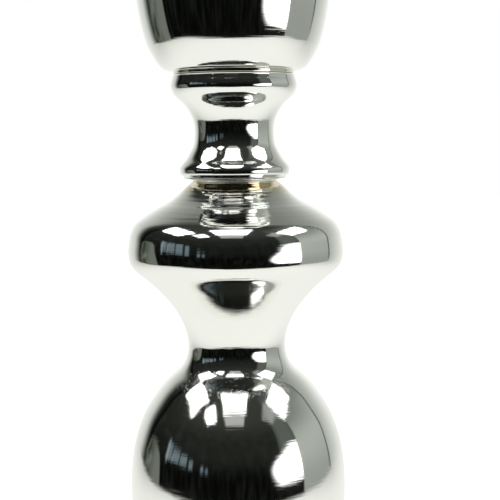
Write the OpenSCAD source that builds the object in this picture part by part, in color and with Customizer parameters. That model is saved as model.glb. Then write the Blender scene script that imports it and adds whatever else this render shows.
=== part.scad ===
// Turned candlestick, 483 mm tall: a domed foot, a collar, a baluster with an onion-shaped knop,
// a spool and a vase-shaped cup, all clamped on one tie rod. The drip pan, its spigot and the
// pricket lift off the cup together.
// The origin is on the axis, on the surface that the candlestick stands on. Units are millimetres.
// Every outline is a list of [radius, height] points, with heights from that piece's own base.

/* [Foot] */
// Radius of the foot's rim
foot_r = 82; // [78:1:90]
// Height of the foot's top above the table
foot_top = 58; // [56:1:64]
// Thickness of the felt pad
felt_t = 1.5; // [1:0.5:3]
// Thickness of the steel plate that closes the foot
plate_t = 1.5; // [1:0.5:2]

/* [Collar] */
// Height of the collar between the foot and the belly
collar_h = 24.4; // [24.4:0.2:30]
// Thickness of the two seat rings
seat_t = 1.6; // [1.2:0.2:2.4]

/* [Baluster] */
// Widest radius of the belly
belly_r = 54.4; // [52:0.1:60]
// Narrowest radius of the waist
waist_r = 24.4; // [22:0.1:28]
// Widest radius of the onion-shaped knop
knop_r = 53.8; // [50:0.1:58]
// Radius of the neck under the spool
neck_r = 21; // [20:0.1:22]
// Thickness of the cast walls
wall_t = 3.5; // [3:0.5:4]

/* [Spool] */
// Narrowest radius of the spool
spool_r = 19.7; // [18.5:0.1:21]
// Radius of the spool's upper ring
ring_r = 31.4; // [30:0.1:34]

/* [Cup] */
// Widest radius of the cup
cup_r = 48; // [47.5:0.5:52]
// Radius of the cup's mouth
mouth_r = 40; // [38:0.5:41]

/* [Drip pan] */
// Radius of the pan's rim
pan_r = 62; // [61:1:70]
// Radius of the flat seat for a pillar candle
candle_seat_r = 50; // [40:1:50]
// Length of the pricket above the seat
pricket_h = 36; // [25:1:45]

/* [Fastening] */
// Radius of the tie rod
rod_r = 4; // [4:0.5:5]
// Radial clearance of the holes round the rod
rod_gap = 0.25; // [0.2:0.05:0.5]
// Radial clearance of the spigots that centre the castings
register_gap = 0.1; // [0.05:0.05:0.2]
// Radial clearance of the drip pan's spigot in the cup
pan_gap = 0.4; // [0.3:0.1:0.6]

/* [Hidden] */
$fn = 96;

// Heights of the pieces above the table, from the foot upwards
collar_z = foot_top;
lower_seat_z = collar_z + collar_h;
baluster_z = lower_seat_z + seat_t;
baluster_h = 222;
lower_neck_r = 29;
lower_seat_r = 28.4;
spool_z = baluster_z + baluster_h;
spool_h = 52.7;
upper_seat_z = spool_z + spool_h;
cup_z = upper_seat_z + seat_t;
cup_h = 82;
pan_z = cup_z + cup_h;
pan_seat_t = 5;
pan_seat_z = pan_z + pan_seat_t;
pan_rim_h = 13;
plate_r = foot_r - 6;

// Places inside the castings where the rod's nuts pull
boss_z = foot_top - 18;
cup_floor_t = 9;
cup_floor_z = cup_z + cup_floor_t;

// Standard sizes of the rod's and the pricket's fasteners
nut_t = 6.5;
nut_flats_r = 1.625 * rod_r;
washer_r = 3 * rod_r;
washer_t = 1.6;
spring_r = 1.8 * rod_r;
spring_t = 2;
spring_split = 1.2;
shank_r = 3;
pricket_base_r = 7;
pricket_base_h = 3;
pricket_recess = 1;
small_nut_t = 5;
small_flats_r = 5;
small_washer_r = 9;
small_washer_t = 1.2;
thread_gap = 0.05;
chamfer = 1;
tip_r = 0.6;

// Spigots that centre one casting in the next
register_r = 17;
register_h = 4;
top_register_r = 13;
spigot_h = 10;
spigot_t = 5;
spigot_web = 3;
pricket_nut_z = pan_z - spigot_web - small_washer_t - small_nut_t;

// A point on the smooth curve through the points p, a share t of the way from point i to the next
function spline(p, i, t) = let(
    a = i > 0 ? p[i - 1] : 2 * p[0] - p[1],
    b = p[i],
    c = p[i + 1],
    d = i + 2 < len(p) ? p[i + 2] : 2 * c - b
) 0.5 * (2 * b + (c - a) * t + (2 * a - 5 * b + 4 * c - d) * t * t + (3 * b - a - 3 * c + d) * t * t * t);

// The smooth curve through the points p, with n steps from each point to the next
function smooth(p, n = 3) = [
    for (i = [0 : len(p) - 2]) for (k = [0 : n - 1]) spline(p, i, k / n),
    p[len(p) - 1]
];

// An arc about the centre c, from one angle to the other
function arc(c, r, from, to, n = 8) = [
    for (k = [0 : n]) let(a = from + (to - from) * k / n) c + r * [cos(a), sin(a)]
];

// The curve p drawn the other way
function reversed(p) = [for (i = [len(p) - 1 : -1 : 0]) p[i]];

// Outline of the belly, the waist, the knop and its neck
function baluster_outline() = smooth([
    [lower_neck_r, 0], [36.8, 8], [44.4, 18], [belly_r - 4.6, 32], [belly_r - 1.2, 48],
    [belly_r - 0.1, 60], [belly_r - 0.1, 74], [belly_r - 1.6, 87], [belly_r - 4.3, 97],
    [belly_r - 8.4, 106.6], [belly_r - 14.9, 116.4], [waist_r + 9.7, 122.6],
    [waist_r + 4, 127.8], [waist_r + 1, 133], [waist_r, 138.8], [waist_r + 0.6, 144.6],
    [waist_r + 2.6, 150.8], [waist_r + 6.1, 157.4], [waist_r + 11.3, 164.2],
    [knop_r - 11.5, 171], [knop_r - 4.6, 176.8], [knop_r - 1.8, 179.8], [knop_r - 0.4, 183],
    [knop_r, 187], [knop_r - 0.4, 191.5], [knop_r - 1.5, 197], [knop_r - 4.4, 201.7],
    [knop_r - 9.7, 205.6], [knop_r - 15.2, 209], [neck_r + 11.4, 212.4],
    [neck_r + 7.1, 215.7], [neck_r + 3.6, 219], [neck_r, baluster_h]
]);

// Outline of the core that leaves the baluster hollow, a little plainer than its outside
function baluster_core() = smooth([
    [lower_neck_r - wall_t - 3, register_h], [36.8 - wall_t, 12], [belly_r - wall_t - 8, 24],
    [belly_r - wall_t - 2.4, 42], [belly_r - wall_t, 62], [belly_r - wall_t - 1.6, 81],
    [belly_r - wall_t - 7, 97], [belly_r - wall_t - 17, 112], [waist_r - wall_t + 3, 125],
    [waist_r - wall_t, 138], [waist_r - wall_t + 3, 152], [waist_r - wall_t + 11, 166],
    [knop_r - wall_t - 5, 179.5], [knop_r - wall_t - 0.6, 187], [knop_r - wall_t - 2.4, 194],
    [knop_r - wall_t - 9, 200.4], [knop_r - wall_t - 18, 205.6], [neck_r + 4, 210],
    [top_register_r, 216]
]);

// Outline of the spool: a thin lip, a bead, the concave waist and the upper ring
function spool_outline() = concat(
    [[neck_r + 0.2, 0], [neck_r + 0.4, 1], [25.4, 1.2], [25.6, 2.2]],
    smooth([
        [26.1, 2.5], [27.1, 3.6], [27.4, 5.1], [27.2, 6.8], [25.9, 8.7],
        [24.1, 10.8], [22.2, 14], [spool_r + 0.6, 18], [spool_r, 22.5], [spool_r + 0.1, 27],
        [spool_r + 1, 31], [spool_r + 2.8, 35], [ring_r - 6.6, 38.2], [ring_r - 3.7, 40.8],
        [ring_r - 1.4, 43.2], [ring_r - 0.1, 46], [ring_r - 0.3, 48.6], [ring_r - 0.9, 50.6]
    ]),
    arc([ring_r - 2.5, 51.2], 1.5, 0, 90)
);

// Outline of the collar: a bead on the foot, a short waist and a ring under the seat ring
function collar_outline() = concat(
    [[26.2, 0]],
    smooth([
        [26.6, 0.2], [27.9, 2.2], [28, 4], [27, 6.2], [24.8, 8.2],
        [23.4, 10.6], [23.2, 13], [24.2, 15.2], [27, 17], [29.4, 18.8],
        [30, 20.8], [29.6, 22.6]
    ]),
    arc([28.2, collar_h - 1.4], 1.4, 10, 90)
);

// Outline of the foot: the rim, a step, the dome and a hollow neck up to the collar
function foot_outline() = concat(
    [[foot_r - 1.5, felt_t]],
    arc([foot_r - 3, felt_t + 3], 3, -60, 80),
    [[foot_r - 5.6, felt_t + 6.2], [foot_r - 5.8, felt_t + 8]],
    smooth([
        [foot_r - 6.4, 10.2], [foot_r - 9.6, 13.6], [foot_r - 16, 18.4], [foot_r - 25, 23.6],
        [foot_r - 34.5, 28.6], [foot_r - 42, 34], [foot_r - 47.6, foot_top - 17.8],
        [foot_r - 51.4, foot_top - 11.4], [foot_r - 53.4, foot_top - 6]
    ]),
    [[foot_r - 53.6, foot_top - 4.4]],
    [[29.4, foot_top - 4.2]],
    arc([29.4, foot_top - 2.1], 2.1, -90, 90)
);

// Outline of the hollow under the foot, up to the boss that the nut pulls on
function foot_core() = smooth([
    [foot_r - 9, felt_t + plate_t], [foot_r - 12, 10], [foot_r - 20, 15.6],
    [foot_r - 32, 21.6], [foot_r - 44, 28], [foot_r - 52, 34.6], [foot_r - 56, boss_z]
]);

// Outline of the cup, from its underside to the lip
function cup_outline() = concat(
    smooth([
        [32, 0], [34, 0.6], [36, 2], [38.3, 4.7], [40.5, 8.2], [42.7, 12.8],
        [cup_r - 3.5, 19], [cup_r - 1.8, 27], [cup_r - 0.5, 36], [cup_r, 45], [cup_r - 1, 56],
        [cup_r - 3.6, 64], [mouth_r + 3.4, 69.4], [mouth_r + 3, 73], [mouth_r + 4.4, 76.4]
    ]),
    arc([mouth_r + 4.6, 79.4], 2, -50, 70),
    [[mouth_r + 4.6, cup_h]]
);

// Outline of the cup's inside, from its floor to the mouth
function cup_bowl() = concat(
    smooth([
        [24, cup_floor_t], [32, 11.4], [37.4, 17.6], [cup_r - wall_t - 3.4, 27],
        [cup_r - wall_t - 1, 37], [cup_r - wall_t, 46], [cup_r - wall_t - 1.2, 56],
        [mouth_r + 0.8, 64], [mouth_r, 69]
    ]),
    [[mouth_r, cup_h]]
);

// Outlines of the drip pan's underside and its dished top, both from the middle outwards
function pan_under() = concat(
    [[mouth_r + 5, 0]],
    smooth([
        [mouth_r + 6.4, 1.4], [mouth_r + 9, 3.2], [pan_r - 8, 5.2], [pan_r - 3.6, 8.4],
        [pan_r - 1.6, 12.6]
    ])
);
function pan_top() = smooth([
    [candle_seat_r, pan_seat_t], [pan_r - 9, 6.6], [pan_r - 6, 9.4], [pan_r - 4.3, pan_rim_h]
]);

// A turned solid with the given outline, and a flat underside and top
module turned(outline) {
    rotate_extrude() polygon(concat(
        [[0, outline[0][1]]],
        outline,
        [[0, outline[len(outline) - 1][1]]]
    ));
}

// A round hole or recess on the axis, between two heights
module hole(r, from, to) {
    translate([0, 0, from]) cylinder(r = r, h = to - from);
}

module flat_ring(outer_r, inner_r, t) {
    rotate_extrude() translate([inner_r, 0]) square([outer_r - inner_r, t]);
}

// A hexagon nut with its corners turned off
module hex_nut(flats_r, bore_r, t) {
    difference() {
        intersection() {
            cylinder(r = flats_r / cos(30), h = t, $fn = 6);
            turned([
                [flats_r, 0], [flats_r / cos(30) + 0.1, chamfer],
                [flats_r / cos(30) + 0.1, t - chamfer], [flats_r, t]
            ]);
        }
        hole(bore_r, -1, t + 1);
    }
}

// A spring washer, split at one side
module spring_washer() {
    difference() {
        flat_ring(spring_r, rod_r + rod_gap, spring_t);
        translate([0, -spring_split / 2, -1]) cube([spring_r + 1, spring_split, spring_t + 2]);
    }
}

module felt_pad() {
    color("dimgray") cylinder(r = foot_r - 2, h = felt_t);
}

module base_plate() {
    color("gray") translate([0, 0, felt_t]) cylinder(r = plate_r, h = plate_t);
}

module foot() {
    color("silver") difference() {
        turned(foot_outline());
        rotate_extrude() polygon(concat(
            [[0, felt_t - 1], [plate_r + register_gap, felt_t - 1],
             [plate_r + register_gap, felt_t + plate_t]],
            foot_core(),
            [[0, boss_z]]
        ));
        hole(rod_r + rod_gap, boss_z - 1, foot_top);
        hole(register_r, foot_top - register_h, foot_top + 1);
    }
}

module collar() {
    color("silver") translate([0, 0, collar_z]) difference() {
        union() {
            turned(collar_outline());
            translate([0, 0, 0.5 - register_h])
                cylinder(r = register_r - register_gap, h = collar_h + 2 * register_h - 1);
        }
        hole(rod_r + rod_gap, -register_h, collar_h + register_h);
    }
}

module lower_seat_ring() {
    color("gainsboro") translate([0, 0, lower_seat_z])
        flat_ring(lower_seat_r, register_r, seat_t);
}

module baluster() {
    color("silver") translate([0, 0, baluster_z]) rotate_extrude() polygon(concat(
        baluster_outline(),
        [[top_register_r, baluster_h]],
        reversed(baluster_core()),
        [[register_r, register_h], [register_r, 0]]
    ));
}

module spool() {
    color("silver") translate([0, 0, spool_z]) difference() {
        union() {
            turned(spool_outline());
            translate([0, 0, -register_h])
                cylinder(r = top_register_r - register_gap, h = 2 * register_h);
            translate([0, 0, spool_h - register_h])
                cylinder(r = register_r - register_gap, h = 2 * register_h);
        }
        hole(rod_r + rod_gap, -register_h - 1, spool_h + register_h + 1);
    }
}

module upper_seat_ring() {
    color("gainsboro") translate([0, 0, upper_seat_z])
        flat_ring(ring_r - 1.4, register_r, seat_t);
}

module candle_cup() {
    color("silver") translate([0, 0, cup_z]) difference() {
        turned(cup_outline());
        rotate_extrude() polygon(concat(
            [[0, cup_h + 1], [0, cup_floor_t]],
            cup_bowl(),
            [[mouth_r, cup_h + 1]]
        ));
        hole(rod_r + rod_gap, -1, cup_floor_t + 1);
        hole(register_r, -1, register_h);
    }
}

// The nut, spring washer and washer under the foot's boss, and those on the cup's floor
module bottom_washer() {
    color("lightgray") translate([0, 0, boss_z - washer_t])
        flat_ring(washer_r, rod_r + rod_gap, washer_t);
}

module bottom_spring_washer() {
    color("lightgray") translate([0, 0, boss_z - washer_t - spring_t]) spring_washer();
}

module bottom_nut() {
    color("lightgray") translate([0, 0, boss_z - washer_t - spring_t - nut_t])
        hex_nut(nut_flats_r, rod_r + thread_gap, nut_t);
}

module top_washer() {
    color("lightgray") translate([0, 0, cup_floor_z])
        flat_ring(washer_r, rod_r + rod_gap, washer_t);
}

module top_spring_washer() {
    color("lightgray") translate([0, 0, cup_floor_z + washer_t]) spring_washer();
}

module top_nut() {
    color("lightgray") translate([0, 0, cup_floor_z + washer_t + spring_t])
        hex_nut(nut_flats_r, rod_r + thread_gap, nut_t);
}

// The rod runs from below the bottom nut to above the top nut
module tie_rod() {
    low = boss_z - washer_t - spring_t - nut_t - 5;
    high = cup_floor_z + washer_t + spring_t + nut_t + 5;
    color("lightgray") turned([
        [rod_r - chamfer, low], [rod_r, low + chamfer],
        [rod_r, high - chamfer], [rod_r - chamfer, high]
    ]);
}

module drip_pan() {
    color("silver") translate([0, 0, pan_z]) difference() {
        rotate_extrude() polygon(concat(
            [[0, 0]],
            pan_under(),
            arc([pan_r - 2.9, pan_rim_h], 1.4, 0, 180),
            reversed(pan_top()),
            [[0, pan_seat_t]]
        ));
        hole(shank_r + rod_gap, -1, pan_seat_t + 1);
        hole(pricket_base_r + rod_gap, pan_seat_t - pricket_recess, pan_seat_t + 1);
    }
}

// The ring that centres the pan in the cup's mouth, with a web for the pricket's shank
module pan_spigot() {
    spigot_r = mouth_r - pan_gap;
    color("silver") translate([0, 0, pan_z - spigot_h]) difference() {
        turned([
            [spigot_r - chamfer, 0], [spigot_r, chamfer], [spigot_r, spigot_h]
        ]);
        translate([0, 0, -1]) cylinder(r = spigot_r - spigot_t, h = spigot_h + 1 - spigot_web);
        hole(shank_r + rod_gap, -1, spigot_h + 1);
    }
}

// The pricket: a spike on a round base let into the seat, and its shank through the pan
module pricket() {
    low = pan_seat_z - pricket_recess;
    tip = pan_seat_z + pricket_h - tip_r;
    shank_low = pricket_nut_z - 3;
    color("gainsboro") union() {
        turned(concat(
            [[pricket_base_r, low]],
            arc([pricket_base_r - 1, low + pricket_base_h - 1], 1, 0, 90),
            [[shank_r, low + pricket_base_h], [tip_r, tip]],
            arc([0, tip], tip_r, 10, 80)
        ));
        translate([0, 0, shank_low]) cylinder(r = shank_r, h = low + 1 - shank_low);
    }
}

module pricket_washer() {
    color("lightgray") translate([0, 0, pricket_nut_z + small_nut_t])
        flat_ring(small_washer_r, shank_r + rod_gap, small_washer_t);
}

module pricket_nut() {
    color("lightgray") translate([0, 0, pricket_nut_z])
        hex_nut(small_flats_r, shank_r + thread_gap, small_nut_t);
}

felt_pad();
base_plate();
foot();
bottom_nut();
bottom_spring_washer();
bottom_washer();
collar();
lower_seat_ring();
baluster();
spool();
upper_seat_ring();
candle_cup();
top_washer();
top_spring_washer();
top_nut();
tie_rod();
drip_pan();
pan_spigot();
pricket();
pricket_washer();
pricket_nut();
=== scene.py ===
# %% [markdown]
# # A turned and plated candlestick
# The candlestick is a stack of cast sections, turned on a lathe, plated with nickel and polished
# to a mirror. A steel rod clamps them together. A mirror has almost no colour of its own, so three
# things decide how it looks: a smooth outline, the marks that polishing leaves, and the studio
# that it reflects. This lesson takes them in that order, after the frame and the camera.

# %% The frame
import math
import bmesh
import bpy
import numpy as np
from mathutils import Matrix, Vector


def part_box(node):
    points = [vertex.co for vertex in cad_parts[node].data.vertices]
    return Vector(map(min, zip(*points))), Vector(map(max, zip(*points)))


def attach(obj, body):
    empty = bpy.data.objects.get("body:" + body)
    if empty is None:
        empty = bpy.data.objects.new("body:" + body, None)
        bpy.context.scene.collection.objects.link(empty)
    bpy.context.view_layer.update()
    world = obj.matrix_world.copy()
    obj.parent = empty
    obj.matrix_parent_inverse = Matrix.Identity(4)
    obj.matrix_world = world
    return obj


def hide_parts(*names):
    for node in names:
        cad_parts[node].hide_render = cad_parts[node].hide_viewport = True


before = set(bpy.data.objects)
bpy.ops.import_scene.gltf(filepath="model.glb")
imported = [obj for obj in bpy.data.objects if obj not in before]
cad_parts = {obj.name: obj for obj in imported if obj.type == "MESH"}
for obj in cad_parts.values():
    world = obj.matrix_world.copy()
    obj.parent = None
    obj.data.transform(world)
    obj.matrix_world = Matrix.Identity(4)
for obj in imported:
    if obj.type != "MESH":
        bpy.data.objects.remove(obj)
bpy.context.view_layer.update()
stand = "stand"
pan = "pan"
MM = 0.001

# %% [markdown]
# ## Reading an outline from the frame
# A turned piece is known by its outline: half of its section, from ring to ring. The frame's mesh
# keeps every ring of the outline as points on one seam line, where y is zero and x is positive.
# Walking from point to point along that seam gives the outline in order. Reading it from the frame
# means that the smooth piece can never drift away from the part that it stands for.

# %% Walking along the seam
def seam_outline(node):
    """The outline of a turned node as an array of [radius, height] in metres, and whether it closes."""
    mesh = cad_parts[node].data
    key_of = {}
    for v in mesh.vertices:
        if v.co.x > 0 and abs(v.co.y) < 1e-6:
            key_of[v.index] = (round(v.co.x * 1e5), round(v.co.z * 1e5))
    links = {}
    for edge in mesh.edges:
        a, b = (key_of.get(i) for i in edge.vertices)
        if a is not None and b is not None and a != b:
            links.setdefault(a, set()).add(b)
            links.setdefault(b, set()).add(a)
    ends = [k for k, near in links.items() if len(near) == 1]
    start = min(ends, key=lambda k: k[1]) if ends else min(links, key=lambda k: (k[1], -k[0]))
    walk = [start]
    while True:
        onward = [k for k in links[walk[-1]] if k not in walk[-2:]]
        onward = [k for k in onward if k not in walk]
        if not onward:
            break
        walk.append(max(onward, key=lambda k: k[0]) if len(walk) == 1 else onward[0])
    return np.array(walk) * 1e-5, not ends


for name in ("baluster", "spool", "candle_cup"):
    line, closed = seam_outline(name)
    print(name, "outline points:", len(line), "closed:", closed)

# %% [markdown]
# ## Making the outline smooth
# Between the real corners of a turned piece the outline is one flowing curve. A cubic spline
# through the frame's points keeps its slope and its bend continuous, and that is what a mirror
# shows: a jump in the bend breaks every reflected edge. A real corner is never knife-sharp after
# polishing, so each one gets a small round of its own.

# %% Splines between corners
CORNER_ANGLE = math.radians(27)
EDGE_ROUND = 0.35 * MM


def spline_through(points, step):
    """Points about a step apart on the natural cubic spline through the given points."""
    seg = np.hypot(*np.diff(points, axis=0).T)
    t = np.concatenate([[0.0], np.cumsum(seg)])
    count = len(points)
    if count < 3:
        return points
    system = np.zeros((count, count))
    rhs = np.zeros((count, 2))
    system[0, 0] = system[-1, -1] = 1.0
    for i in range(1, count - 1):
        system[i, i - 1 : i + 2] = seg[i - 1], 2 * (seg[i - 1] + seg[i]), seg[i]
        rise = (points[i + 1] - points[i]) / seg[i] - (points[i] - points[i - 1]) / seg[i - 1]
        rhs[i] = 6 * rise
    bend = np.linalg.solve(system, rhs)
    s = np.linspace(0, t[-1], max(int(round(t[-1] / step)), count) + 1)
    i = np.clip(np.searchsorted(t, s, side="right") - 1, 0, count - 2)
    h = seg[i][:, None]
    a = (t[i + 1] - s)[:, None]
    b = (s - t[i])[:, None]
    return (
        (bend[i] * a**3 + bend[i + 1] * b**3) / (6 * h)
        + (points[i] / h - bend[i] * h / 6) * a
        + (points[i + 1] / h - bend[i + 1] * h / 6) * b
    )


def rounded_corner(before, corner, after, radius, steps=5):
    """The arc that takes the place of a corner, and one point just beyond each of its ends."""
    d0 = (before - corner) / np.linalg.norm(before - corner)
    d1 = (after - corner) / np.linalg.norm(after - corner)
    room = 0.4 * min(np.linalg.norm(before - corner), np.linalg.norm(after - corner))
    half = math.acos(np.clip(d0 @ d1, -1, 1)) / 2
    reach = min(radius / math.tan(half), room)
    t = np.linspace(0, 1, steps + 1)[:, None]
    p0, p1 = corner + d0 * reach, corner + d1 * reach
    arc = (1 - t) ** 2 * p0 + 2 * t * (1 - t) * corner + t**2 * p1
    return np.vstack([corner + d0 * reach * 1.4, arc, corner + d1 * reach * 1.4])


def smooth_outline(line, closed, step, inner_step):
    """The flowing outline: splines between the corners, and a small round on each corner.

    The walk climbs the outside and comes down the inside, so a falling stretch is an inner wall.
    """
    count = len(line)
    turns = []
    for i in range(count):
        if not closed and i in (0, count - 1):
            turns.append(math.pi)
            continue
        a, b = line[i] - line[i - 1], line[(i + 1) % count] - line[i]
        cosine = a @ b / (np.linalg.norm(a) * np.linalg.norm(b))
        turns.append(math.acos(np.clip(cosine, -1, 1)))
    corners = [i for i in range(count) if turns[i] > CORNER_ANGLE]
    out = []
    spans = list(zip(corners, corners[1:] + ([corners[0] + count] if closed else [])))
    curves = []
    for a, b in spans:
        stretch = line[[k % count for k in range(a, b + 1)]]
        falling = stretch[-1, 1] < stretch[0, 1]
        curves.append(spline_through(stretch, inner_step if falling else step))
    for k, curve in enumerate(curves):
        if closed or k > 0:
            out.append(rounded_corner(curves[k - 1][-2], curve[0], curve[1], EDGE_ROUND))
        else:
            out.append(curve[:1])
        out.append(curve[1:-1])
    if not closed:
        out.append(curves[-1][-1:])
    return np.vstack(out)


# %% [markdown]
# ## Turning the outline
# Building the rings directly gives full control of how many there are and leaves no modifier to
# apply. A mirror needs many segments round the axis, because the eye finds every flat in a
# reflected straight edge.

# %% The lathe
SEGMENTS = 320


def lathe(name, outline, closed, segments=SEGMENTS):
    """A smooth-shaded object made by turning an outline about the z axis."""
    keep = [0]
    for i in range(1, len(outline)):
        if np.linalg.norm(outline[i] - outline[keep[-1]]) > 2e-6:
            keep.append(i)
    outline = outline[keep]
    bm = bmesh.new()
    rings = []
    for radius, height in outline:
        if radius < 1e-6:
            rings.append([bm.verts.new((0, 0, height))])
            continue
        angles = [2 * math.pi * k / segments for k in range(segments)]
        rings.append([
            bm.verts.new((radius * math.cos(a), radius * math.sin(a), height)) for a in angles
        ])
    pairs = list(zip(rings, rings[1:] + (rings[:1] if closed else [])))
    for low, high in pairs[: len(rings) if closed else len(rings) - 1]:
        for k in range(segments):
            n = (k + 1) % segments
            if len(low) == 1:
                bm.faces.new((low[0], high[n], high[k]))
            elif len(high) == 1:
                bm.faces.new((low[k], low[n], high[0]))
            else:
                bm.faces.new((low[k], low[n], high[n], high[k]))
    bmesh.ops.recalc_face_normals(bm, faces=bm.faces)
    for face in bm.faces:
        face.smooth = True
    mesh = bpy.data.meshes.new(name)
    bm.to_mesh(mesh)
    bm.free()
    piece = bpy.data.objects.new(name, mesh)
    bpy.context.scene.collection.objects.link(piece)
    return piece


def turned_piece(node, body, material, step=0.9 * MM, segments=SEGMENTS, inner_step=None):
    """The smooth piece that stands for a turned node of the frame."""
    line, closed = seam_outline(node)
    outline = smooth_outline(line, closed, step, inner_step or step)
    piece = lathe(node + "_turned", outline, closed, segments)
    piece.data.materials.append(material)
    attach(piece, body)
    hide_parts(node)
    print(node, "rings:", len(outline), "faces:", len(piece.data.polygons))
    return piece


# %% [markdown]
# ## The camera
# The picture is a close view of the knop, taken from just above it and a little to its right, with
# the camera tipped down slightly. Everything is placed from the widest ring of the knop, which the
# frame gives.

# %% Placing the camera
baluster_line, _ = seam_outline("baluster")
baluster_low, baluster_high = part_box("baluster")
upper_half = baluster_line[baluster_line[:, 1] > (baluster_low[2] + baluster_high[2]) / 2]
knop_r, knop_z = (float(v) for v in upper_half[np.argmax(upper_half[:, 0])])
view_distance = 0.60
eye_above_knop = 61.2 * MM
view_pitch = math.atan(eye_above_knop / view_distance)
view_roll = math.radians(-0.6)
side_step = 7.2 * MM
view_height = knop_z + eye_above_knop

camera_data = bpy.data.cameras.new("camera")
camera_data.sensor_width = 36.0
camera_data.lens = 144.0 * view_distance
camera = bpy.data.objects.new("camera", camera_data)
bpy.context.scene.collection.objects.link(camera)
camera.matrix_world = (
    Matrix.Translation((side_step, -view_distance, view_height))
    @ Matrix.Rotation(math.pi / 2 - view_pitch, 4, "X")
    @ Matrix.Rotation(view_roll, 4, "Z")
)
bpy.context.scene.camera = camera
bpy.context.scene.view_settings.view_transform = "Standard"
print("knop radius and height in mm:", round(knop_r / MM, 1), round(knop_z / MM, 1))

# %% [markdown]
# ## Small helpers for shader nodes
# Light, room and metal are all described with shader nodes. A math node, a range, a soft step, a
# colour mix and a new group are needed again and again, so each one gets a function of its own.

# %% Node helpers
def math_node(tree, operation, *values):
    node = tree.nodes.new("ShaderNodeMath")
    node.operation = operation
    for socket, value in zip(node.inputs, values):
        if isinstance(value, bpy.types.NodeSocket):
            tree.links.new(value, socket)
        else:
            socket.default_value = value
    return node.outputs[0]


def new_group(name, inputs, outputs):
    group = bpy.data.node_groups.new(name, "ShaderNodeTree")
    for label, kind, default in inputs:
        socket = group.interface.new_socket(label, in_out="INPUT", socket_type=kind)
        socket.default_value = default
    for label, kind in outputs:
        group.interface.new_socket(label, in_out="OUTPUT", socket_type=kind)
    return group, group.nodes.new("NodeGroupInput"), group.nodes.new("NodeGroupOutput")


def map_range(tree, value, low, high, start=0.0, end=1.0, smooth=True):
    """Goes from start to end while the value goes from low to high."""
    node = tree.nodes.new("ShaderNodeMapRange")
    node.interpolation_type = "SMOOTHSTEP" if smooth else "LINEAR"
    tree.links.new(value, node.inputs["Value"])
    limits = {"From Min": low, "From Max": high, "To Min": start, "To Max": end}
    for label, limit in limits.items():
        if isinstance(limit, bpy.types.NodeSocket):
            tree.links.new(limit, node.inputs[label])
        else:
            node.inputs[label].default_value = limit
    return node.outputs["Result"]


def soft_step(tree, value, edge, softness, rising=True):
    """Goes smoothly from 0 to 1 across an edge, or from 1 to 0."""
    low = math_node(tree, "MULTIPLY_ADD", softness, -1.0, edge)
    high = math_node(tree, "MULTIPLY_ADD", softness, 1.0, edge)
    start, end = (0.0, 1.0) if rising else (1.0, 0.0)
    return map_range(tree, value, low, high, start, end)


def colour_mix(tree, factor, under, over, how="MIX"):
    """Goes from one colour to another. Each is a socket or three plain values."""
    node = tree.nodes.new("ShaderNodeMix")
    node.data_type = "RGBA"
    node.blend_type = how
    tree.links.new(factor, node.inputs["Factor"])
    targets = [socket for socket in node.inputs if socket.type == "RGBA"]
    for target, value in zip(targets, (under, over)):
        if isinstance(value, bpy.types.NodeSocket):
            tree.links.new(value, target)
        else:
            target.default_value = (*value, 1)
    return [socket for socket in node.outputs if socket.type == "RGBA"][0]


def from_axis(tree, x, y):
    """The distance from the upright axis."""
    squares = [math_node(tree, "POWER", value, 2.0) for value in (x, y)]
    return math_node(tree, "SQRT", math_node(tree, "ADD", *squares))


print("node helpers are ready")

# %% [markdown]
# ## The table
# The candlestick stands on a plain white table. The polished surfaces show it from below as a
# bright field that ends at the table's front edge, so the edge has to be at its real place. Behind
# the object the white sheet widens and runs on, as a paper sweep does in a studio. Its glow
# falls off towards the front and the sides, and the camera sees it as plain white. From below it is
# clear, so the underside of the object can be looked at.

# %% A white table with a curved front edge
table_front = 0.54
table_side = 0.88
sheet_side = 1.15
sheet_start = 0.8
sheet_back = 9.0
table_drop = 0.2 * MM
near_glow = 0.93
far_glow = 0.50
rear_glow = 0.94
paper_glow = 1.25
front_steps = 48
table_corners = []
for k in range(front_steps + 1):
    angle = math.pi * k / front_steps
    table_corners.append((-table_side * math.cos(angle), -table_front * math.sin(angle)))
table_corners += [(sheet_side, sheet_start), (sheet_side, sheet_back),
                  (-sheet_side, sheet_back), (-sheet_side, sheet_start)]
table_mesh = bpy.data.meshes.new("table")
table_points = [(x, y, -table_drop) for x, y in table_corners]
table_mesh.from_pydata(table_points, [], [tuple(range(len(table_points)))])
table = bpy.data.objects.new("table", table_mesh)
bpy.context.scene.collection.objects.link(table)
table_white = bpy.data.materials.new("table_white")
table_white.use_nodes = True
table_shader = table_white.node_tree.nodes["Principled BSDF"]
table_shader.inputs["Base Color"].default_value = (0.16, 0.16, 0.158, 1)
table_shader.inputs["Roughness"].default_value = 0.9
table_shader.inputs["Specular IOR Level"].default_value = 0.0
table_shader.inputs["Emission Color"].default_value = (0.93, 0.945, 0.905, 1)
glow_tree = table_white.node_tree
table_split = glow_tree.nodes.new("ShaderNodeSeparateXYZ")
table_place = glow_tree.nodes.new("ShaderNodeTexCoord").outputs["Object"]
glow_tree.links.new(table_place, table_split.inputs[0])
table_x, table_y = table_split.outputs["X"], table_split.outputs["Y"]
away = from_axis(glow_tree, table_x, table_y)
rearward = math_node(glow_tree, "DIVIDE", table_y, math_node(glow_tree, "MAXIMUM", away, 0.01))
side_level = map_range(glow_tree, rearward, 0.45, 1.0, far_glow, rear_glow, smooth=False)
falloff = map_range(glow_tree, away, 0.30, 1.25, near_glow, side_level)
camera_sees = glow_tree.nodes.new("ShaderNodeLightPath").outputs["Is Camera Ray"]
camera_misses = math_node(glow_tree, "SUBTRACT", 1.0, camera_sees)
paper_white = math_node(glow_tree, "MULTIPLY", camera_sees, paper_glow)
reflected = math_node(glow_tree, "MULTIPLY", falloff, camera_misses)
table_glow = math_node(glow_tree, "ADD", paper_white, reflected)
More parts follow.
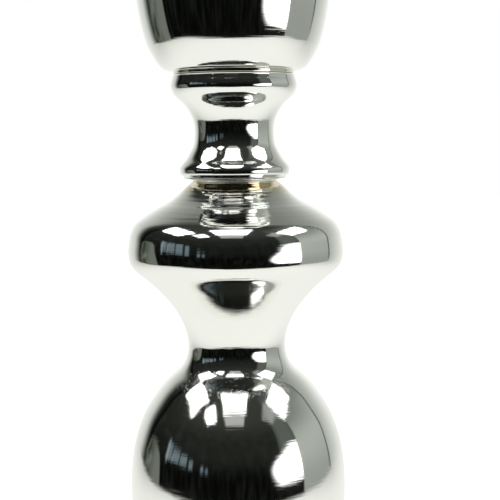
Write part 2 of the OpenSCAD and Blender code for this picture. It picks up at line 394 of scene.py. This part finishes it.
glow_tree.links.new(table_glow, table_shader.inputs["Emission Strength"])
below = glow_tree.nodes.new("ShaderNodeNewGeometry").outputs["Backfacing"]
glow_tree.links.new(math_node(glow_tree, "SUBTRACT", 1.0, below), table_shader.inputs["Alpha"])
table_mesh.materials.append(table_white)
print("table reaches", table_front, "m in front of the axis")

# %% [markdown]
# ## The room that the metal reflects
# Three things surround the table. Behind and beside it is the white sweep, which gives the bright
# rims. In front is the dark room in which the camera stands, with a bright window and a grey wall
# to the right and a few small panes to the left. The room is far away, so it only depends on the
# direction, and the world shader can draw it: each part is a patch between two bearings and two
# heights, in degrees. Bearing 0 points from the object to the camera.

# %% A patch of the room, as a group
FLOAT = "NodeSocketFloat"
patch_group, gin, gout = new_group(
    "room_patch",
    [("Bearing", FLOAT, 0.0), ("Height", FLOAT, 0.0), ("Left", FLOAT, 0.0), ("Right", FLOAT, 0.0),
     ("Bottom", FLOAT, 0.0), ("Top", FLOAT, 0.0), ("Side Softness", FLOAT, 1.0),
     ("Edge Softness", FLOAT, 1.0)],
    [("Mask", FLOAT)],
)
edges = []
for value, low, high, softness in (("Bearing", "Left", "Right", "Side Softness"),
                                   ("Height", "Bottom", "Top", "Edge Softness")):
    for side, rising in ((low, True), (high, False)):
        edges.append(soft_step(patch_group, gin.outputs[value], gin.outputs[side],
                               gin.outputs[softness], rising))
mask = edges[0]
for edge in edges[1:]:
    mask = math_node(patch_group, "MULTIPLY", mask, edge)
patch_group.links.new(mask, gout.inputs["Mask"])
print("patch group nodes:", len(patch_group.nodes))

# %% The world shader
world = bpy.data.worlds.new("studio")
bpy.context.scene.world = world
world.use_nodes = True
sky = world.node_tree
sky.nodes.clear()
direction = sky.nodes.new("ShaderNodeTexCoord").outputs["Generated"]
split = sky.nodes.new("ShaderNodeSeparateXYZ")
sky.links.new(direction, split.inputs[0])
to_degrees = 180 / math.pi
front = math_node(sky, "MULTIPLY", split.outputs["Y"], -1.0)
bearing = math_node(sky, "MULTIPLY", math_node(sky, "ARCTAN2", split.outputs["X"], front), to_degrees)
height = math_node(sky, "MULTIPLY", math_node(sky, "ARCSINE", split.outputs["Z"]), to_degrees)


def patch_mask(left, right, bottom, top, side=1.0, edge=1.0):
    node = sky.nodes.new("ShaderNodeGroup")
    node.node_tree = patch_group
    sky.links.new(bearing, node.inputs["Bearing"])
    sky.links.new(height, node.inputs["Height"])
    values = {"Left": left, "Right": right, "Bottom": bottom, "Top": top,
              "Side Softness": side, "Edge Softness": edge}
    for label, value in values.items():
        node.inputs[label].default_value = value
    return node.outputs["Mask"]


def blend(under, over, factor):
    return colour_mix(sky, factor, under, over)


DARK_ROOM = (0.0016, 0.0019, 0.0015)
DIM_ROOM = (0.013, 0.0145, 0.0125)
HIGH_ROOM = (0.036, 0.040, 0.034)
LOW_WALL = (0.305, 0.325, 0.300)
GREY_WALL = (0.42, 0.45, 0.415)
WALL_TOP = (0.17, 0.185, 0.17)
SHADY_WALL = (0.10, 0.112, 0.10)
SWEEP_LOW = (0.49, 0.515, 0.475)
SWEEP_MIDDLE = (0.36, 0.38, 0.35)
SWEEP_HIGH = (0.19, 0.205, 0.188)
SWEEP_BACK = (1.04, 1.06, 1.02)
PANE = (0.14, 0.185, 0.21)
PANE_GLOW = (0.30, 0.34, 0.35)
SIDE_FLAT = (0.150, 0.163, 0.145)
FLAT_SHADE = (0.03, 0.042, 0.022)
BLACK = (0.004, 0.004, 0.004)


def ramp(value, low, high):
    """Goes smoothly from 0 to 1 while the value goes from low to high."""
    return map_range(sky, value, low, high)


def streaks(across, along, detail):
    """Noise over bearing and height, for the clutter of a dark room."""
    vector = sky.nodes.new("ShaderNodeCombineXYZ")
    sky.links.new(math_node(sky, "MULTIPLY", bearing, 1 / across), vector.inputs["X"])
    sky.links.new(math_node(sky, "MULTIPLY", height, 1 / along), vector.inputs["Y"])
    noise = sky.nodes.new("ShaderNodeTexNoise")
    sky.links.new(vector.outputs[0], noise.inputs["Vector"])
    noise.inputs["Scale"].default_value = 1.0
    noise.inputs["Detail"].default_value = detail
    return noise.outputs["Fac"]


clutter = ramp(streaks(4.2, 16.0, 3.0), 0.40, 0.75)
lower = blend(DARK_ROOM, (0.010, 0.0112, 0.0095), clutter)
upper = blend(DIM_ROOM, (0.022, 0.024, 0.021), ramp(streaks(9.0, 5.0, 3.0), 0.35, 0.75))
room = blend(lower, upper, ramp(height, -2.0, 22.0))
room = blend(room, HIGH_ROOM, ramp(height, 22.0, 58.0))
patches = [
    # what, colour, left, right, bottom, top, side softness, edge softness
    ("first pane", PANE, -86, -78, 5.5, 15, 0.4, 0.6),
    ("second pane", PANE, -76.5, -67, 5.5, 14.5, 0.4, 0.6),
    ("third pane", PANE, -65.5, -57, 5.2, 13.5, 0.4, 0.6),
    ("fourth pane", PANE, -54, -49.5, 4.5, 11.5, 0.4, 0.6),
    ("first glow", PANE_GLOW, -84.4, -83.0, 3.5, 16, 0.3, 1.5),
    ("second glow", PANE_GLOW, -76.8, -75.8, 5, 10, 0.3, 1.5),
    ("small pane", PANE, -40, -37, 3.5, 8, 0.4, 0.6),
    ("smaller pane", PANE, -34.5, -32, 3.5, 7, 0.4, 0.6),
    ("shady wall above the window", SHADY_WALL, 50, 73, 6, 60, 5, 12),
    ("post beside the window", BLACK, 47, 48.2, 6, 40, 0.4, 3),
    ("wall corner", BLACK, 71.8, 73.4, -12, 16, 0.4, 1.0),
]
for _, colour, left, right, bottom, top, side, edge in patches:
    room = blend(room, colour, patch_mask(left, right, bottom, top, side, edge))
wall = blend(LOW_WALL, GREY_WALL, ramp(height, -12.0, 14.0))
wall = blend(wall, WALL_TOP, ramp(height, 13.0, 46.0))
room = blend(room, wall, patch_mask(73.5, 126.0, -60, 60, 0.8, 10))
print("room patches:", len(patches))

# %% [markdown]
# ## The white sweep
# The sweep grows brighter towards the back, because it is lit from behind, and darker towards the
# ceiling. Its front edges stand at the sides, each with a dark border that leans outwards. The
# left one hides behind a small rounded flat.

# %% The sweep, its borders and the side flat
sweep = blend(SWEEP_LOW, SWEEP_MIDDLE, ramp(height, -12.0, 26.0))
sweep = blend(sweep, SWEEP_HIGH, ramp(height, 24.0, 62.0))
turned_back = map_range(sky, math_node(sky, "ABSOLUTE", bearing), 121.0, 174.0, smooth=False)
low_down = math_node(sky, "SUBTRACT", 1.0, ramp(height, 2.0, 42.0))
sweep = blend(sweep, SWEEP_BACK, math_node(sky, "MULTIPLY", turned_back, low_down))
right_lean = 0.17
left_lean = 0.30
level_up = math_node(sky, "MAXIMUM", height, 0.0)
right_side = math_node(sky, "SUBTRACT", bearing, math_node(sky, "MULTIPLY", level_up, right_lean))
left_side = math_node(sky, "MULTIPLY", bearing, -1.0)
left_edge = math_node(sky, "SUBTRACT", left_side, math_node(sky, "MULTIPLY", level_up, left_lean))
behind = math_node(sky, "MAXIMUM", ramp(right_side, 117.6, 119.0), ramp(left_edge, 118.0, 138.0))
room = blend(room, sweep, behind)


def strip(side, start, full, fading, end):
    """A band that comes in from start to full and goes out from fading to end, in degrees."""
    going = math_node(sky, "SUBTRACT", 1.0, ramp(side, fading, end))
    return math_node(sky, "MULTIPLY", ramp(side, start, full), going)


ALL_ROUND = 400
border = math_node(sky, "MAXIMUM", strip(right_side, 115.6, 116.6, 117.2, 118.6),
                   strip(left_side, 115.4, 116.4, 119.6, 123.4))
border_height = patch_mask(-ALL_ROUND, ALL_ROUND, -9, 44, 1, 4)
room = blend(room, BLACK, math_node(sky, "MULTIPLY", border, border_height))

flat_bearing, flat_half_width = 106.0, 15.0
flat_depth, flat_half_height = 14.0, 22.0
flat_power = 3.0
flat_x = math_node(sky, "ADD", bearing, flat_bearing)
flat_x = math_node(sky, "ABSOLUTE", math_node(sky, "DIVIDE", flat_x, flat_half_width))
flat_z = math_node(sky, "DIVIDE", math_node(sky, "ADD", height, flat_depth), flat_half_height)
flat_z = math_node(sky, "MAXIMUM", flat_z, 0.0)
flat_reach = math_node(sky, "ADD", math_node(sky, "POWER", flat_x, flat_power),
                       math_node(sky, "POWER", flat_z, flat_power))
flat_folds = ramp(streaks(7.0, 7.0, 3.0), 0.3, 0.62)
flat_shading = math_node(sky, "MULTIPLY", ramp(left_side, 98.0, 114.0), flat_folds)
flat_colour = blend(SIDE_FLAT, FLAT_SHADE, flat_shading)
room = blend(room, flat_colour, soft_step(sky, flat_reach, 1.0, 0.10, False))

background = sky.nodes.new("ShaderNodeBackground")
sky.links.new(room, background.inputs["Color"])
backdrop = sky.nodes.new("ShaderNodeBackground")
backdrop.inputs["Color"].default_value = (1, 1, 1, 1)
chooser = sky.nodes.new("ShaderNodeMixShader")
light_path = sky.nodes.new("ShaderNodeLightPath")
sky.links.new(light_path.outputs["Is Camera Ray"], chooser.inputs["Fac"])
sky.links.new(background.outputs[0], chooser.inputs[1])
sky.links.new(backdrop.outputs[0], chooser.inputs[2])
sky.links.new(chooser.outputs[0], sky.nodes.new("ShaderNodeOutputWorld").inputs["Surface"])
print("world nodes:", len(sky.nodes))

# %% [markdown]
# ## The softboxes
# Three large softboxes hang over the table, side by side, and a small one in front of the left one.
# A dim strip stands for the fading front edge of the middle one, and another for the right one's.
# They are near enough for each bulge of the candlestick to see them from a different place, so
# they are real area lights at real positions, and their reflections move as they should.

# %% Hanging the softboxes
softbox_height = 0.88
softboxes = [
    # name, left, right, front, back, radiance
    ("softbox_left", -0.77, -0.405, -0.26, 0.20, 2.4),
    ("softbox_small", -0.52, -0.335, -0.55, -0.345, 2.4),
    ("softbox_middle", -0.21, 0.135, -0.47, -0.15, 2.4),
    ("softbox_middle_dim", -0.20, 0.11, -0.68, -0.472, 0.40),
    ("softbox_right", 0.43, 0.81, -0.28, 0.16, 2.4),
    ("softbox_right_dim", 0.39, 0.62, -0.50, -0.282, 0.22),
]
for name, left, right, front_y, back_y, radiance in softboxes:
    data = bpy.data.lights.new(name, "AREA")
    data.shape = "RECTANGLE"
    data.size = right - left
    data.size_y = back_y - front_y
    data.energy = radiance * math.pi * data.size * data.size_y
    lamp = bpy.data.objects.new(name, data)
    lamp.location = ((left + right) / 2, (front_y + back_y) / 2, softbox_height)
    lamp.visible_camera = False
    bpy.context.scene.collection.objects.link(lamp)
print("softboxes:", len(softboxes), "at", softbox_height, "m")

# %% [markdown]
# ## The window
# The bright window to the right is an upright sheet that glows. A blind hangs in front of its left
# part, so its light fades out there, in a rounded end that leans in at the top. The sheet's alpha
# does this: it is a mask over the sheet's own place, and a glow without alpha would end in a hard
# edge. The camera itself doesn't see the sheet.

# %% A glowing sheet with one soft end
window_distance = 0.80
window_left = math.radians(33.5)
window_right = math.radians(71.0)
window_low = 0.115
window_high = 0.43
window_glow = 2.4
corners = [
    (window_distance * math.sin(b), -window_distance * math.cos(b), z)
    for b, z in ((window_left, window_low), (window_right, window_low),
                 (window_right, window_high), (window_left, window_high))
]
window_mesh = bpy.data.meshes.new("window")
window_mesh.from_pydata(corners, [], [(0, 1, 2, 3)])
window = bpy.data.objects.new("window", window_mesh)
bpy.context.scene.collection.objects.link(window)
window.visible_camera = False
window_light = bpy.data.materials.new("window_light")
window_light.use_nodes = True
pane_tree = window_light.node_tree
pane_shader = pane_tree.nodes["Principled BSDF"]
pane_shader.inputs["Base Color"].default_value = (0, 0, 0, 1)
pane_shader.inputs["Roughness"].default_value = 1.0
pane_shader.inputs["Specular IOR Level"].default_value = 0.0
pane_shader.inputs["Emission Color"].default_value = (1, 1, 1, 1)
pane_shader.inputs["Emission Strength"].default_value = window_glow
place = pane_tree.nodes.new("ShaderNodeTexCoord").outputs["Generated"]
pane_split = pane_tree.nodes.new("ShaderNodeSeparateXYZ")
pane_tree.links.new(place, pane_split.inputs[0])
pane_x, pane_z = pane_split.outputs["X"], pane_split.outputs["Z"]
round_middle, round_amount = 0.42, 2.4
cut_slope, cut_start = 0.30, 0.12
from_middle = math_node(pane_tree, "ABSOLUTE", math_node(pane_tree, "SUBTRACT", pane_z, round_middle))
rounding = math_node(pane_tree, "POWER", from_middle, 3.0)
rounding = math_node(pane_tree, "MULTIPLY", rounding, round_amount)
high_cut = math_node(pane_tree, "MULTIPLY_ADD", pane_z, cut_slope, -cut_start)
high_cut = math_node(pane_tree, "MAXIMUM", high_cut, 0.0)
taper = math_node(pane_tree, "SUBTRACT", pane_x, rounding)
taper = math_node(pane_tree, "SUBTRACT", taper, high_cut)
pane_tree.links.new(map_range(pane_tree, taper, -0.02, 0.24), pane_shader.inputs["Alpha"])
window_mesh.materials.append(window_light)
print("window corners:", [[round(v, 2) for v in corner] for corner in corners])

# %% [markdown]
# ## What polishing leaves behind
# A polished turning is not a perfect mirror. The polishing wheel and the lathe leave fine rings
# round the axis, which smear reflections up and down but not sideways. The metal under the plating
# is cast, so it is also very slightly wavy. In the narrow necks, where the wheel can't reach, it
# keeps small pits or ripples. Each effect is a height that changes over the surface, so one group
# holds all of them, and each material sets its own amounts.

# %% The surface group
surface_group, gin, gout = new_group(
    "polished_turning",
    [("Ring Pitch", FLOAT, 0.35), ("Ring Depth", FLOAT, 1.6), ("Wave Size", FLOAT, 24.0),
     ("Wave Depth", FLOAT, 0.8), ("Neck Low", FLOAT, 10.0), ("Neck High", FLOAT, 10.1),
     ("Second Neck Low", FLOAT, 10.0), ("Second Neck High", FLOAT, 10.1),
     ("Ripple Depth", FLOAT, 0.0), ("Pit Depth", FLOAT, 0.0),
     ("Warm Low", FLOAT, 10.0), ("Warm High", FLOAT, 10.1),
     ("Polished Roughness", FLOAT, 0.062), ("Neck Roughness", FLOAT, 0.06)],
    [("Height", FLOAT), ("Roughness", FLOAT), ("Haze", FLOAT), ("Painted Reflection Zone", FLOAT)],
)
g = surface_group
place = g.nodes.new("ShaderNodeTexCoord").outputs["Object"]
parts = g.nodes.new("ShaderNodeSeparateXYZ")
g.links.new(place, parts.inputs[0])
radius = from_axis(g, parts.outputs["X"], parts.outputs["Y"])
safe_radius = math_node(g, "MAXIMUM", radius, 1e-4)
across_x = math_node(g, "DIVIDE", parts.outputs["X"], safe_radius)
across_y = math_node(g, "DIVIDE", parts.outputs["Y"], safe_radius)


def ring_noise(pitch, along, detail, shift=0.0):
    """Noise that changes quickly from ring to ring and slowly round the axis."""
    per_metre = math_node(g, "DIVIDE", 1000.0, pitch)
    vector = g.nodes.new("ShaderNodeCombineXYZ")
    g.links.new(math_node(g, "MULTIPLY_ADD", radius, per_metre, shift), vector.inputs["X"])
    g.links.new(math_node(g, "MULTIPLY", parts.outputs["Z"], per_metre), vector.inputs["Y"])
    g.links.new(math_node(g, "MULTIPLY", across_x, along), vector.inputs["Z"])
    noise = g.nodes.new("ShaderNodeTexNoise")
    noise.noise_dimensions = "4D"
    g.links.new(vector.outputs[0], noise.inputs["Vector"])
    g.links.new(math_node(g, "MULTIPLY", across_y, along), noise.inputs["W"])
    noise.inputs["Scale"].default_value = 1.0
    noise.inputs["Detail"].default_value = detail
    return noise.outputs["Fac"]


def solid_noise(size, detail):
    """Noise in all three directions, with features about size millimetres across."""
    per_metre = math_node(g, "DIVIDE", 1000.0, size)
    scaled = g.nodes.new("ShaderNodeVectorMath")
    scaled.operation = "SCALE"
    g.links.new(place, scaled.inputs[0])
    g.links.new(per_metre, scaled.inputs["Scale"])
    noise = g.nodes.new("ShaderNodeTexNoise")
    g.links.new(scaled.outputs[0], noise.inputs["Vector"])
    noise.inputs["Scale"].default_value = 1.0
    noise.inputs["Detail"].default_value = detail
    return noise.outputs["Fac"]


def between(low, high):
    """A zone from one height to another, with soft ends."""
    rising = soft_step(g, parts.outputs["Z"], gin.outputs[low], zone_softness)
    falling = soft_step(g, parts.outputs["Z"], gin.outputs[high], zone_softness, False)
    return math_node(g, "MULTIPLY", rising, falling)


def times(first, second):
    return math_node(g, "MULTIPLY", first, second)


zone_softness = 2.5 * MM
speck_size = 0.55
ripple_length = 1.9 * MM
pit_zone = between("Neck Low", "Neck High")
ripple_zone = between("Second Neck Low", "Second Neck High")
neck = math_node(g, "MAXIMUM", pit_zone, ripple_zone)
fine_rings = times(ring_noise(gin.outputs["Ring Pitch"], 2.2, 1.0), gin.outputs["Ring Depth"])
wide_pitch = times(gin.outputs["Ring Pitch"], 4.0)
wide_rings = times(ring_noise(wide_pitch, 1.6, 0.0, 7.3), times(gin.outputs["Ring Depth"], 0.15))
waves = times(solid_noise(gin.outputs["Wave Size"], 0.0), gin.outputs["Wave Depth"])
speck = map_range(g, solid_noise(speck_size, 0.0), 0.64, 0.80, smooth=False)
pits = times(speck, times(pit_zone, gin.outputs["Pit Depth"]))
slow_wander = times(ring_noise(6.0, 1.2, 0.0, 3.1), 6.0)
ripple_angle = math_node(
    g, "MULTIPLY_ADD", parts.outputs["Z"], 2 * math.pi / ripple_length, slow_wander
)
ripple = math_node(g, "ADD", math_node(g, "SINE", ripple_angle), ring_noise(1.3, 2.6, 0.0, 5.2))
neck_rings = times(ripple, times(ripple_zone, gin.outputs["Ripple Depth"]))
rings = math_node(g, "ADD", fine_rings, wide_rings)
neck_marks = math_node(g, "ADD", pits, neck_rings)
total = math_node(g, "ADD", rings, math_node(g, "ADD", waves, neck_marks))
haze = times(math_node(g, "SUBTRACT", solid_noise(26.0, 3.0), 0.35), 1.6)
haze = math_node(g, "MINIMUM", math_node(g, "MAXIMUM", haze, 0.0), 1.0)
polished = math_node(g, "MULTIPLY_ADD", haze, 0.012, gin.outputs["Polished Roughness"])
rough_gap = math_node(g, "SUBTRACT", gin.outputs["Neck Roughness"], polished)
g.links.new(total, gout.inputs["Height"])
g.links.new(math_node(g, "MULTIPLY_ADD", neck, rough_gap, polished), gout.inputs["Roughness"])
g.links.new(haze, gout.inputs["Haze"])
# The zone at the baluster's top where a warm tint paints the champagne and shade of many reflections in
# the joint.
g.links.new(between("Warm Low", "Warm High"), gout.inputs["Painted Reflection Zone"])
print("surface group nodes:", len(g.nodes))

# %% [markdown]
# ## The metals
# Nickel plate reflects almost all light, a little less blue than red, so it looks neutral after one
# reflection and champagne after several, deep in the joints. Near the top of the baluster a warm,
# darker tint paints this champagne and shade of many reflections on as well, as painted reflection.
# The Principled shader stays in each material, with its metal colour set on its own socket; the group
# feeds its roughness and bump.

# %% A metal material
HAZE_SHARE = 0.965
# Painted reflection: a warm, darker tint that stands in for the light of many reflections deep in a
# joint.
PAINTED_REFLECTION_TINT = (0.86, 0.77, 0.63)


def metal(name, colour, **amounts):
    """A polished metal with the marks of polishing on it."""
    material = bpy.data.materials.new(name)
    material.use_nodes = True
    tree = material.node_tree
    shader = tree.nodes["Principled BSDF"]
    shader.inputs["Metallic"].default_value = 1.0
    marks = tree.nodes.new("ShaderNodeGroup")
    marks.node_tree = surface_group
    for label, value in amounts.items():
        marks.inputs[label.replace("_", " ")].default_value = value
    bump = tree.nodes.new("ShaderNodeBump")
    bump.inputs["Strength"].default_value = 1.0
    bump.inputs["Distance"].default_value = 0.01 * MM
    tree.links.new(marks.outputs["Height"], bump.inputs["Height"])
    tree.links.new(bump.outputs["Normal"], shader.inputs["Normal"])
    tree.links.new(marks.outputs["Roughness"], shader.inputs["Roughness"])
    hazy = [HAZE_SHARE * value for value in colour]
    tint = colour_mix(tree, marks.outputs["Haze"], colour, hazy)
    # Painted reflection and shade: the warm tint is laid on in the joint zone.
    painted_reflection_colour = colour_mix(tree, marks.outputs["Painted Reflection Zone"], tint, PAINTED_REFLECTION_TINT, "MULTIPLY")
    tree.links.new(painted_reflection_colour, shader.inputs["Base Color"])
    return material


NICKEL = (0.945, 0.945, 0.91)
belly_neck = knop_z - 66 * MM
baluster_top = float(baluster_high[2])
plated = metal("nickel_plate", NICKEL)
plated_baluster = metal(
    "nickel_plate_baluster", NICKEL,
    Neck_Low=belly_neck - 1 * MM, Neck_High=belly_neck + 9 * MM, Pit_Depth=2.2,
    Second_Neck_Low=knop_z + 18 * MM, Second_Neck_High=baluster_top + 5 * MM, Ripple_Depth=1.3,
    # Painted reflection: the warm tint at the joint above the baluster's top.
    Warm_Low=baluster_top - 5 * MM, Warm_High=baluster_top + 3 * MM,
)
ring_metal = metal("nickel_seat_ring", (0.93, 0.90, 0.82), Polished_Roughness=0.07)
steel = metal("zinc_plated_steel", (0.62, 0.63, 0.64), Polished_Roughness=0.24, Ring_Depth=2.0)
bright_steel = metal("bright_steel", (0.80, 0.80, 0.79), Polished_Roughness=0.10, Ring_Depth=1.5)
print("metals:", [m.name for m in (plated, plated_baluster, ring_metal, steel, bright_steel)])

# %% [markdown]
# ## The castings
# The six castings are turned from their outlines in the frame: the foot, the collar, the baluster,
# the spool, the cup and the drip pan. So are the ring that centres the pan and the two seat rings.
# The step is the distance between rings: the pieces with the tightest curves have the smallest.

# %% Turning the castings
turned_piece("baluster", stand, plated_baluster, step=1.15 * MM, segments=264, inner_step=8 * MM)
turned_piece("spool", stand, plated, step=0.8 * MM)
turned_piece("candle_cup", stand, plated, step=1.2 * MM)
turned_piece("collar", stand, plated, step=0.8 * MM, segments=256)
turned_piece("foot", stand, plated, step=1.5 * MM)
turned_piece("drip_pan", pan, plated, step=1.2 * MM)
turned_piece("pan_spigot", pan, plated, step=2 * MM, segments=192)
turned_piece("upper_seat_ring", stand, ring_metal, step=1 * MM, segments=256)
turned_piece("lower_seat_ring", stand, ring_metal, step=1 * MM, segments=256)

# %% [markdown]
# ## The fasteners
# The rod, its nuts and washers are hidden inside the castings, and the pricket stands in the pan.
# Their shapes in the frame are right as they are, so they only get the look of zinc plate and of
# bright steel.

# %% Steel on the small parts
def coat(node, material):
    """Put a material on every material slot of a node of the frame."""
    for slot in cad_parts[node].material_slots:
        slot.material = material


steel_nodes = ("tie_rod", "bottom_nut", "bottom_spring_washer", "bottom_washer", "top_washer",
               "top_spring_washer", "top_nut", "pricket_washer", "pricket_nut", "base_plate")
for name in steel_nodes:
    coat(name, steel)
coat("pricket", bright_steel)

print("steel parts:", len(steel_nodes) + 1)

# %% [markdown]
# ## The felt pad
# The pad under the base is pressed wool. Its fibres make a fine, irregular nap and a slightly
# mottled colour, and they catch light at a flat angle, which the sheen stands for.

# %% Pressed wool
felt = bpy.data.materials.new("wool_felt")
felt.use_nodes = True
wool = felt.node_tree
wool_shader = wool.nodes["Principled BSDF"]
wool_place = wool.nodes.new("ShaderNodeTexCoord").outputs["Object"]


def wool_noise(size, detail, distortion):
    noise = wool.nodes.new("ShaderNodeTexNoise")
    wool.links.new(wool_place, noise.inputs["Vector"])
    noise.inputs["Scale"].default_value = 1 / size
    noise.inputs["Detail"].default_value = detail
    noise.inputs["Distortion"].default_value = distortion
    return noise.outputs["Fac"]


fibres = wool_noise(0.5 * MM, 5.0, 2.5)
mottle = wool_noise(7 * MM, 3.0, 0.4)
wool_dark = (0.010, 0.010, 0.012)
wool_light = (0.075, 0.075, 0.080)
wool_tint = colour_mix(wool, math_node(wool, "MULTIPLY", fibres, mottle), wool_dark, wool_light)
wool.links.new(wool_tint, wool_shader.inputs["Base Color"])
nap = wool.nodes.new("ShaderNodeBump")
nap.inputs["Distance"].default_value = 0.12 * MM
wool.links.new(fibres, nap.inputs["Height"])
wool.links.new(nap.outputs["Normal"], wool_shader.inputs["Normal"])
wool_shader.inputs["Roughness"].default_value = 1.0
wool_shader.inputs["Sheen Weight"].default_value = 0.35
coat("felt_pad", felt)
print("felt on the underside")
